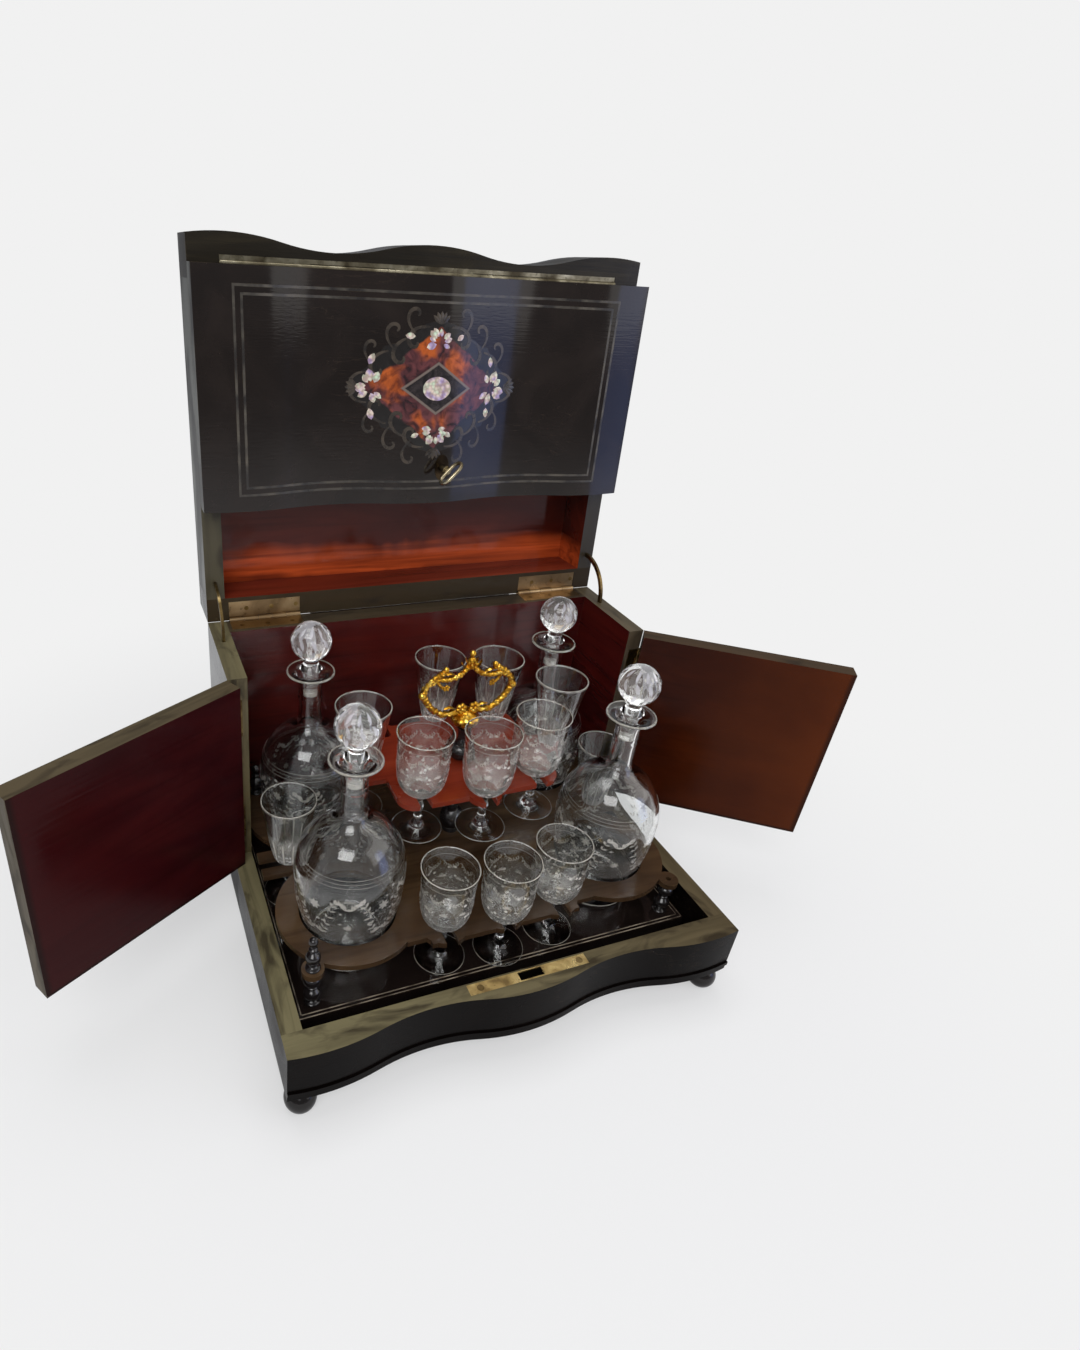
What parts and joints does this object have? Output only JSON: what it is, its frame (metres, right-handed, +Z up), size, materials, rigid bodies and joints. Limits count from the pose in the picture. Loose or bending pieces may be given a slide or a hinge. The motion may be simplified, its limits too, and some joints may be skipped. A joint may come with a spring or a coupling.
{
  "type": "liquor casket",
  "caption": "Serpentine-fronted table-top liquor casket with hinged lid, folding front panel, side doors and a lift-out rack of decanters and stemmed glasses.",
  "frame": {"origin": "on the table, under the middle of the whole open model, in the plane of the feet; the case's own middle is 3.6 mm to the right of it and 25.7 mm in front", "axes": "+Z up, the serpentine front faces -Y, +X to the right seen from the front"},
  "size_m": [0.593, 0.3168, 0.4735],
  "materials": {
    "ebonised_wood": "gloss",
    "red_mahogany": "gloss",
    "brown_wood": "satin",
    "orange_wood": "satin",
    "black_turned_wood": "gloss",
    "aged_brass": "satin",
    "gilt_bronze": "gloss",
    "steel": "satin",
    "clear_glass": "gloss",
    "inlay_brass": "satin",
    "inlay_shell": "gloss",
    "inlay_pearl": "gloss"
  },
  "bodies": {
    "case": {"front_rail": "ebonised_wood", "side_rails": "ebonised_wood", "floor_board": "red_mahogany", "back_panel": "red_mahogany", "side_wall_left": "ebonised_wood", "side_wall_right": "ebonised_wood", "bun_feet": "ebonised_wood", "keeper_plate": "aged_brass", "keeper_screws": "aged_brass", "lid_hinge_case_leaves": "aged_brass", "door_hinge_case_leaves": "aged_brass"},
    "lid": {"lid_top": "ebonised_wood", "lid_front_rail": "ebonised_wood", "lid_side_rails": "ebonised_wood", "lid_rear_rail": "red_mahogany", "lid_hinge_leaves": "aged_brass", "lid_stays": "aged_brass", "panel_hinge_lid_leaves": "aged_brass"},
    "panel": {"front_panel": "ebonised_wood", "panel_stringing": "inlay_brass", "medallion": "inlay_shell", "medallion_oval": "inlay_pearl", "panel_hinge_leaves": "aged_brass", "escutcheon": "aged_brass", "lock_case": "aged_brass"},
    "bolt": {"lock_bolt": "aged_brass"},
    "key": {"key": "steel"},
    "left_door": {"door_left": "ebonised_wood", "door_left_hinge_leaves": "aged_brass"},
    "right_door": {"door_right": "ebonised_wood", "door_right_hinge_leaves": "aged_brass"},
    "rack": {"tray_board": "black_turned_wood", "rack_columns": "black_turned_wood", "rack_finials": "black_turned_wood", "main_shelf": "brown_wood", "centre_post": "black_turned_wood", "upper_shelf": "orange_wood", "handle_post": "black_turned_wood", "gilt_handle": "gilt_bronze"},
    "decanter_front_left_body": {"decanter_front_left": "clear_glass"},
    "stopper_front_left_body": {"stopper_front_left": "clear_glass"},
    "decanter_front_right_body": {"decanter_front_right": "clear_glass"},
    "stopper_front_right_body": {"stopper_front_right": "clear_glass"},
    "decanter_back_left_body": {"decanter_back_left": "clear_glass"},
    "stopper_back_left_body": {"stopper_back_left": "clear_glass"},
    "decanter_back_right_body": {"decanter_back_right": "clear_glass"},
    "stopper_back_right_body": {"stopper_back_right": "clear_glass"},
    "glass_lower_front_left_body": {"glass_lower_front_left": "clear_glass"},
    "glass_lower_front_middle_body": {"glass_lower_front_middle": "clear_glass"},
    "glass_lower_front_right_body": {"glass_lower_front_right": "clear_glass"},
    "glass_lower_side_left_body": {"glass_lower_side_left": "clear_glass"},
    "glass_lower_side_right_body": {"glass_lower_side_right": "clear_glass"},
    "glass_upper_front_left_body": {"glass_upper_front_left": "clear_glass"},
    "glass_upper_front_middle_body": {"glass_upper_front_middle": "clear_glass"},
    "glass_upper_front_right_body": {"glass_upper_front_right": "clear_glass"},
    "glass_upper_side_left_body": {"glass_upper_side_left": "clear_glass"},
    "glass_upper_side_right_body": {"glass_upper_side_right": "clear_glass"},
    "glass_upper_back_middle_body": {"glass_upper_back_middle": "clear_glass"},
    "glass_upper_back_right_body": {"glass_upper_back_right": "clear_glass"}
  },
  "joints": [
    {"name": "lid_hinge", "type": "hinge", "parent": "case", "child": "lid", "pos_m": [0.00363, 0.10224, 0.2146], "axis": [-1, 0, 0], "range_deg": [-93.6, 0]},
    {"name": "panel_hinge", "type": "hinge", "parent": "lid", "child": "panel", "pos_m": [0.00363, 0.11743, 0.45592], "axis": [-1, 0, 0], "range_deg": [0, 90]},
    {"name": "key_turn", "type": "hinge", "parent": "panel", "child": "key", "pos_m": [0.01163, 0.1033, 0.32856], "axis": [0, -0.998, 0.0628], "range_deg": [0, 90]},
    {"name": "bolt_slide", "type": "slide", "parent": "panel", "child": "bolt", "axis": [0, -0.0628, -0.998], "range_m": [0, 0.006]},
    {"name": "left_door_hinge", "type": "hinge", "parent": "case", "child": "left_door", "pos_m": [-0.16137, 0.01814, 0.137], "axis": [0, 0, -1], "range_deg": [-59.6, 110.4]},
    {"name": "right_door_hinge", "type": "hinge", "parent": "case", "child": "right_door", "pos_m": [0.16863, 0.01814, 0.137], "axis": [0, 0, 1], "range_deg": [-54.7, 115.3]},
    {"name": "rack_lift", "type": "slide", "parent": "case", "child": "rack", "axis": [0, 0, 1], "range_m": [0, 0.1]},
    {"name": "decanter_front_left_lift", "type": "slide", "parent": "rack", "child": "decanter_front_left_body", "axis": [0, 0, 1], "range_m": [0, 0.15]},
    {"name": "stopper_front_left_lift", "type": "slide", "parent": "decanter_front_left_body", "child": "stopper_front_left_body", "axis": [0, 0, 1], "range_m": [0, 0.03]},
    {"name": "decanter_front_right_lift", "type": "slide", "parent": "rack", "child": "decanter_front_right_body", "axis": [0, 0, 1], "range_m": [0, 0.15]},
    {"name": "stopper_front_right_lift", "type": "slide", "parent": "decanter_front_right_body", "child": "stopper_front_right_body", "axis": [0, 0, 1], "range_m": [0, 0.03]},
    {"name": "decanter_back_left_lift", "type": "slide", "parent": "rack", "child": "decanter_back_left_body", "axis": [0, 0, 1], "range_m": [0, 0.15]},
    {"name": "stopper_back_left_lift", "type": "slide", "parent": "decanter_back_left_body", "child": "stopper_back_left_body", "axis": [0, 0, 1], "range_m": [0, 0.03]},
    {"name": "decanter_back_right_lift", "type": "slide", "parent": "rack", "child": "decanter_back_right_body", "axis": [0, 0, 1], "range_m": [0, 0.15]},
    {"name": "stopper_back_right_lift", "type": "slide", "parent": "decanter_back_right_body", "child": "stopper_back_right_body", "axis": [0, 0, 1], "range_m": [0, 0.03]},
    {"name": "glass_lower_front_left_slide", "type": "slide", "parent": "rack", "child": "glass_lower_front_left_body", "axis": [0, -1, 0], "range_m": [0, 0.022]},
    {"name": "glass_lower_front_middle_slide", "type": "slide", "parent": "rack", "child": "glass_lower_front_middle_body", "axis": [0, -1, 0], "range_m": [0, 0.0165]},
    {"name": "glass_lower_front_right_slide", "type": "slide", "parent": "rack", "child": "glass_lower_front_right_body", "axis": [0, -1, 0], "range_m": [0, 0.022]},
    {"name": "glass_lower_side_left_lift", "type": "slide", "parent": "rack", "child": "glass_lower_side_left_body", "axis": [0, 0, 1], "range_m": [0, 0.019]},
    {"name": "glass_lower_side_right_lift", "type": "slide", "parent": "rack", "child": "glass_lower_side_right_body", "axis": [0, 0, 1], "range_m": [0, 0.019]},
    {"name": "glass_upper_front_left_slide", "type": "slide", "parent": "rack", "child": "glass_upper_front_left_body", "axis": [0, -1, 0], "range_m": [0, 0.016]},
    {"name": "glass_upper_front_middle_slide", "type": "slide", "parent": "rack", "child": "glass_upper_front_middle_body", "axis": [0, -1, 0], "range_m": [0, 0.0115]},
    {"name": "glass_upper_front_right_slide", "type": "slide", "parent": "rack", "child": "glass_upper_front_right_body", "axis": [0, -1, 0], "range_m": [0, 0.016]},
    {"name": "glass_upper_side_left_lift", "type": "slide", "parent": "rack", "child": "glass_upper_side_left_body", "axis": [0, 0, 1], "range_m": [0, 0.019]},
    {"name": "glass_upper_side_right_lift", "type": "slide", "parent": "rack", "child": "glass_upper_side_right_body", "axis": [0, 0, 1], "range_m": [0, 0.019]},
    {"name": "glass_upper_back_middle_slide", "type": "slide", "parent": "rack", "child": "glass_upper_back_middle_body", "axis": [0, 1, 0], "range_m": [0, 0.018]},
    {"name": "glass_upper_back_right_slide", "type": "slide", "parent": "rack", "child": "glass_upper_back_right_body", "axis": [0, 1, 0], "range_m": [0, 0.018]}
  ],
  "couplings": [
    {"joint": "panel_hinge", "follows": "lid_hinge", "ratio": -0.96153},
    {"joint": "key_turn", "follows": "bolt_slide", "rad_per_m": 261.79}
  ]
}
